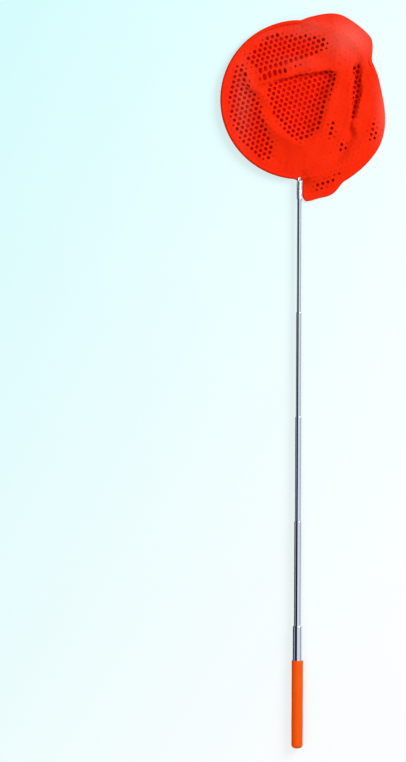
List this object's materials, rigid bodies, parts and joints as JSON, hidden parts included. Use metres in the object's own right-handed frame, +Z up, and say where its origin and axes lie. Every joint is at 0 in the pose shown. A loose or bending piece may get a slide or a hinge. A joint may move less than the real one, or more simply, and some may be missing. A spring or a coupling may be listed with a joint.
{
  "type": "telescopic hand net",
  "caption": "Telescopic hand net with a soft orange grip, a polished pole of sliding tubes that collapses into the handle, and a wire hoop with a limp orange mesh bag.",
  "frame": {"origin": "on the table the net lies on, under the middle of the grip, at the middle of the facet the grip rests on", "axes": "+Y along the pole from the grip to the hoop, +Z up from the table, +X to the right seen from above with the hoop at the top"},
  "size_m": [0.1937, 0.862, 0.0133],
  "materials": {
    "polished_steel": "polished",
    "spring_brass": "rolled",
    "grey_plastic": "moulded",
    "orange_vinyl": "satin",
    "orange_mesh": "knitted mesh"
  },
  "bodies": {
    "handle": {"grip": "orange_vinyl", "handle_tube": "polished_steel", "end_plug": "grey_plastic"},
    "draw_1": {"draw_tube_1": "polished_steel", "friction_bush_1": "spring_brass"},
    "draw_2": {"draw_tube_2": "polished_steel", "friction_bush_2": "spring_brass"},
    "draw_3": {"draw_tube_3": "polished_steel", "friction_bush_3": "spring_brass"},
    "tip_slide": {"friction_bush_4": "spring_brass"},
    "net_head": {"tip_tube": "polished_steel", "ferrule": "polished_steel", "hoop_wire": "polished_steel", "net_hem": "orange_mesh", "net_bag": "orange_mesh"}
  },
  "joints": [
    {"name": "draw_1_slide", "type": "slide", "parent": "handle", "child": "draw_1", "axis": [0, 1, 0], "range_m": [-0.1195, 0]},
    {"name": "draw_2_slide", "type": "slide", "parent": "draw_1", "child": "draw_2", "axis": [0, 1, 0], "range_m": [-0.1195, 0]},
    {"name": "draw_3_slide", "type": "slide", "parent": "draw_2", "child": "draw_3", "axis": [0, 1, 0], "range_m": [-0.1195, 0]},
    {"name": "tip_slide_joint", "type": "slide", "parent": "draw_3", "child": "tip_slide", "axis": [0, 1, 0], "range_m": [-0.13, 0]},
    {"name": "head_swivel", "type": "hinge", "parent": "tip_slide", "child": "net_head", "pos_m": [0, 0.452, 0.00664], "axis": [0, 1, 0], "continuous": true}
  ]
}
